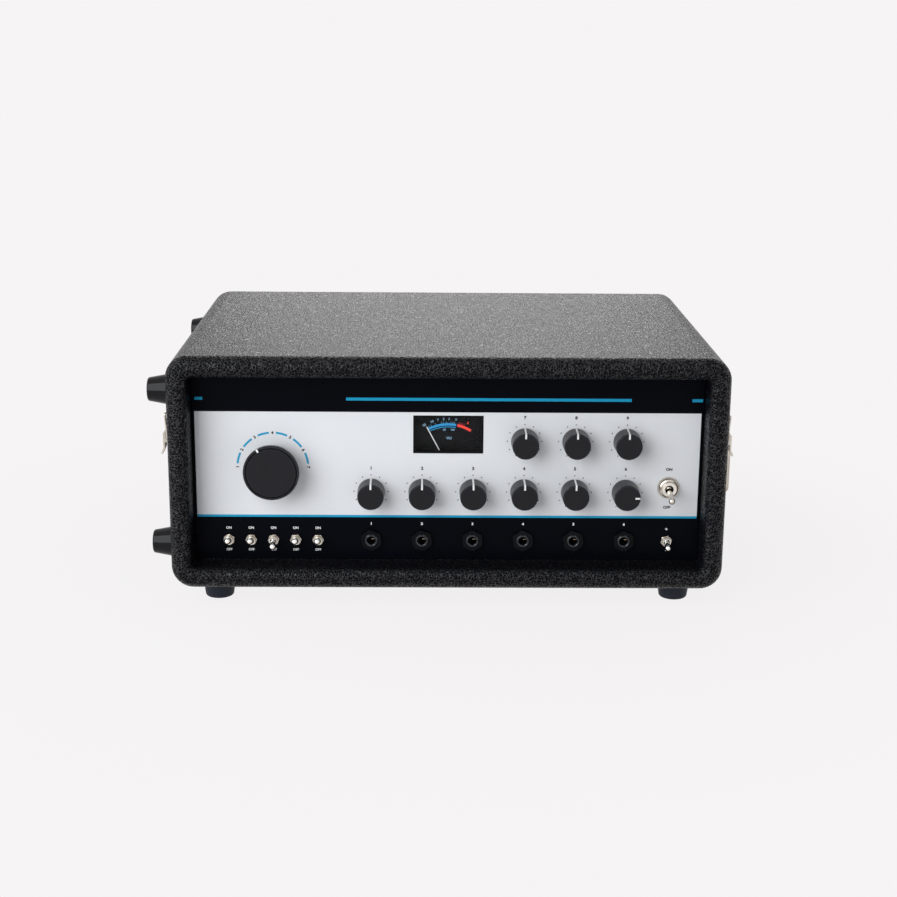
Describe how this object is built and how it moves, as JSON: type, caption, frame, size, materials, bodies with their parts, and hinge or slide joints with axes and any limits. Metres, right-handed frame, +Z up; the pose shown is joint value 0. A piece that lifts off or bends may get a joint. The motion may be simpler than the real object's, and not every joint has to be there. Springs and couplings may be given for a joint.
{
  "type": "tape echo unit",
  "caption": "Table-top tape echo unit in a covered case with a hinged lid, recessed control panel, level meter, knobs, toggle switches and sockets.",
  "frame": {"origin": "centre of the box round the whole unit, on the surface its rubber feet stand on", "axes": "+X to the right of someone facing the controls, +Y from the panel to the back, +Z up"},
  "size_m": [0.452, 0.3063, 0.195],
  "materials": {
    "covered_board": "boards covered in black grained vinyl",
    "foot_rubber": "matte",
    "gloss_black": "glossy turned plastic",
    "nickel": "bright nickel plate",
    "strap_vinyl": "moulded grained vinyl",
    "panel_enamel": "screen printed satin enamel, white with black bands",
    "knob_plastic": "satin",
    "control_metal": "plain plated steel",
    "switch_plastic": "satin black",
    "meter_plastic": "satin black",
    "clear_window": "clear acrylic",
    "needle_white": "painted",
    "plated_sheet": "zinc plated sheet",
    "head_metal": "polished",
    "tape_film": "oxide brown film",
    "board_laminate": "solder mask",
    "core_iron": "varnished laminations",
    "black_sheet": "powder coat"
  },
  "bodies": {
    "cabinet": {"cabinet_shell": "covered_board", "rubber_feet": "foot_rubber", "side_feet_lower": "gloss_black", "base_hinge_leaves": "nickel", "latch_plates": "nickel", "handle_strap": "strap_vinyl", "handle_caps": "nickel", "front_panel": "panel_enamel", "meter_case": "meter_plastic", "meter_lens": "clear_window", "potentiometers": "control_metal", "selector_switch": "control_metal", "toggle_switch_bodies": "switch_plastic", "panel_nuts": "nickel", "jack_sockets": "switch_plastic", "jack_nuts": "switch_plastic", "chassis": "plated_sheet", "deck_plate": "plated_sheet", "chamber_cover": "clear_window", "tape_heads": "head_metal", "tape_guides": "control_metal", "tape_loop": "tape_film", "drive_motor": "control_metal", "drive_belt": "foot_rubber", "circuit_board": "board_laminate", "power_transformer": "core_iron", "reverb_tank": "plated_sheet", "rear_plate": "black_sheet", "mains_inlet": "switch_plastic", "screws": "nickel"},
    "lid": {"lid_shell": "covered_board", "side_feet_upper": "gloss_black", "latch_keepers": "nickel", "lid_hinge_leaves": "nickel"},
    "left_lever": {"left_latch_lever": "nickel"},
    "left_bail": {"left_latch_bail": "nickel"},
    "right_lever": {"right_latch_lever": "nickel"},
    "right_bail": {"right_latch_bail": "nickel"},
    "needle": {"meter_needle": "needle_white"},
    "selector": {"selector_knob": "knob_plastic"},
    "volume_knob_turn": {"volume_knob": "knob_plastic"},
    "rate_knob_turn": {"rate_knob": "knob_plastic"},
    "depth_knob_turn": {"depth_knob": "knob_plastic"},
    "reverb_knob_turn": {"reverb_knob": "knob_plastic"},
    "speed_knob_turn": {"speed_knob": "knob_plastic"},
    "echo_knob_turn": {"echo_knob": "knob_plastic"},
    "bass_knob_turn": {"bass_knob": "knob_plastic"},
    "treble_knob_turn": {"treble_knob": "knob_plastic"},
    "repeat_knob_turn": {"repeat_knob": "knob_plastic"},
    "direct_toggle_lever": {"direct_toggle": "nickel"},
    "motor_toggle_lever": {"motor_toggle": "nickel"},
    "overdub_toggle_lever": {"overdub_toggle": "nickel"},
    "echo_toggle_lever": {"echo_toggle": "nickel"},
    "effect_toggle_lever": {"effect_toggle": "nickel"},
    "level_toggle_lever": {"level_toggle": "nickel"},
    "power_toggle_lever": {"power_toggle": "nickel"},
    "flywheel_and_capstan": {"flywheel": "control_metal"},
    "pulley": {"motor_pulley": "control_metal"},
    "arm": {"pinch_arm": "control_metal"},
    "roller": {"pinch_roller": "foot_rubber"}
  },
  "joints": [
    {"name": "lid_hinge", "type": "hinge", "parent": "cabinet", "child": "lid", "pos_m": [0, 0.15015, 0.1378], "axis": [-1, 0, 0], "range_deg": [0, 100]},
    {"name": "left_lever_pivot", "type": "hinge", "parent": "cabinet", "child": "left_lever", "pos_m": [-0.2134, -0.11715, 0.131], "axis": [0, 1, 0], "range_deg": [0, 110]},
    {"name": "left_bail_pivot", "type": "hinge", "parent": "left_lever", "child": "left_bail", "pos_m": [-0.213, -0.11715, 0.1255], "axis": [0, 1, 0], "range_deg": [-127, 0]},
    {"name": "right_lever_pivot", "type": "hinge", "parent": "cabinet", "child": "right_lever", "pos_m": [0.2134, -0.11715, 0.131], "axis": [0, -1, 0], "range_deg": [0, 110]},
    {"name": "right_bail_pivot", "type": "hinge", "parent": "right_lever", "child": "right_bail", "pos_m": [0.213, -0.11715, 0.1255], "axis": [0, -1, 0], "range_deg": [-127, 0]},
    {"name": "volume_knob_spin", "type": "hinge", "parent": "cabinet", "child": "volume_knob_turn", "pos_m": [-0.0586, -0.12715, 0.0861], "axis": [0, 1, 0], "range_deg": [-150, 150]},
    {"name": "rate_knob_spin", "type": "hinge", "parent": "cabinet", "child": "rate_knob_turn", "pos_m": [-0.0197, -0.12715, 0.0861], "axis": [0, 1, 0], "range_deg": [-150, 150]},
    {"name": "depth_knob_spin", "type": "hinge", "parent": "cabinet", "child": "depth_knob_turn", "pos_m": [0.0192, -0.12715, 0.0861], "axis": [0, 1, 0], "range_deg": [-150, 150]},
    {"name": "reverb_knob_spin", "type": "hinge", "parent": "cabinet", "child": "reverb_knob_turn", "pos_m": [0.0581, -0.12715, 0.0861], "axis": [0, 1, 0], "range_deg": [-150, 150]},
    {"name": "speed_knob_spin", "type": "hinge", "parent": "cabinet", "child": "speed_knob_turn", "pos_m": [0.097, -0.12715, 0.0861], "axis": [0, 1, 0], "range_deg": [-150, 150]},
    {"name": "echo_knob_spin", "type": "hinge", "parent": "cabinet", "child": "echo_knob_turn", "pos_m": [0.1359, -0.12715, 0.0861], "axis": [0, 1, 0], "range_deg": [-240, 60]},
    {"name": "bass_knob_spin", "type": "hinge", "parent": "cabinet", "child": "bass_knob_turn", "pos_m": [0.0581, -0.12715, 0.1262], "axis": [0, 1, 0], "range_deg": [-150, 150]},
    {"name": "treble_knob_spin", "type": "hinge", "parent": "cabinet", "child": "treble_knob_turn", "pos_m": [0.097, -0.12715, 0.1262], "axis": [0, 1, 0], "range_deg": [-150, 150]},
    {"name": "repeat_knob_spin", "type": "hinge", "parent": "cabinet", "child": "repeat_knob_turn", "pos_m": [0.1359, -0.12715, 0.1262], "axis": [0, 1, 0], "range_deg": [-150, 150]},
    {"name": "selector_spin", "type": "hinge", "parent": "cabinet", "child": "selector", "pos_m": [-0.1332, -0.12715, 0.1052], "axis": [0, 1, 0], "range_deg": [-60, 120]},
    {"name": "direct_toggle_flip", "type": "hinge", "parent": "cabinet", "child": "direct_toggle_lever", "pos_m": [-0.1679, -0.13055, 0.0475], "axis": [1, 0, 0], "range_deg": [0, 26]},
    {"name": "motor_toggle_flip", "type": "hinge", "parent": "cabinet", "child": "motor_toggle_lever", "pos_m": [-0.1508, -0.13055, 0.0475], "axis": [1, 0, 0], "range_deg": [0, 26]},
    {"name": "overdub_toggle_flip", "type": "hinge", "parent": "cabinet", "child": "overdub_toggle_lever", "pos_m": [-0.1337, -0.13055, 0.0475], "axis": [1, 0, 0], "range_deg": [-26, 0]},
    {"name": "echo_toggle_flip", "type": "hinge", "parent": "cabinet", "child": "echo_toggle_lever", "pos_m": [-0.1166, -0.13055, 0.0475], "axis": [1, 0, 0], "range_deg": [0, 26]},
    {"name": "effect_toggle_flip", "type": "hinge", "parent": "cabinet", "child": "effect_toggle_lever", "pos_m": [-0.0995, -0.13055, 0.0475], "axis": [1, 0, 0], "range_deg": [0, 26]},
    {"name": "level_toggle_flip", "type": "hinge", "parent": "cabinet", "child": "level_toggle_lever", "pos_m": [0.1689, -0.13055, 0.0475], "axis": [1, 0, 0], "range_deg": [-26, 0]},
    {"name": "power_toggle_flip", "type": "hinge", "parent": "cabinet", "child": "power_toggle_lever", "pos_m": [0.1691, -0.12865, 0.0899], "axis": [1, 0, 0], "range_deg": [-28, 0]},
    {"name": "needle_swing", "type": "hinge", "parent": "cabinet", "child": "needle", "pos_m": [0.0001, -0.12175, 0.10495], "axis": [0, 1, 0], "range_deg": [0, 58], "stiffness_Nm_per_rad": 0.0002, "springref_deg": -5.73},
    {"name": "flywheel_spin", "type": "hinge", "parent": "cabinet", "child": "flywheel_and_capstan", "pos_m": [0.118, -0.05683, 0.0975], "axis": [0, 0, 1], "continuous": true},
    {"name": "pulley_spin", "type": "hinge", "parent": "cabinet", "child": "pulley", "pos_m": [0.056, -0.00483, 0.0975], "axis": [0, 0, 1], "continuous": true},
    {"name": "arm_swing", "type": "hinge", "parent": "cabinet", "child": "arm", "pos_m": [0.148, -0.08178, 0.1535], "axis": [0, 0, 1], "range_deg": [0, 8], "stiffness_Nm_per_rad": 0.5, "springref_deg": -17.19},
    {"name": "roller_spin", "type": "hinge", "parent": "arm", "child": "roller", "pos_m": [0.118, -0.07178, 0.1595], "axis": [0, 0, 1], "continuous": true}
  ],
  "couplings": [
    {"joint": "left_bail_pivot", "follows": "left_lever_pivot", "ratio": -1.15},
    {"joint": "right_bail_pivot", "follows": "right_lever_pivot", "ratio": -1.15},
    {"joint": "pulley_spin", "follows": "flywheel_spin", "ratio": 4.6207},
    {"joint": "roller_spin", "follows": "flywheel_spin", "ratio": -0.2727}
  ]
}
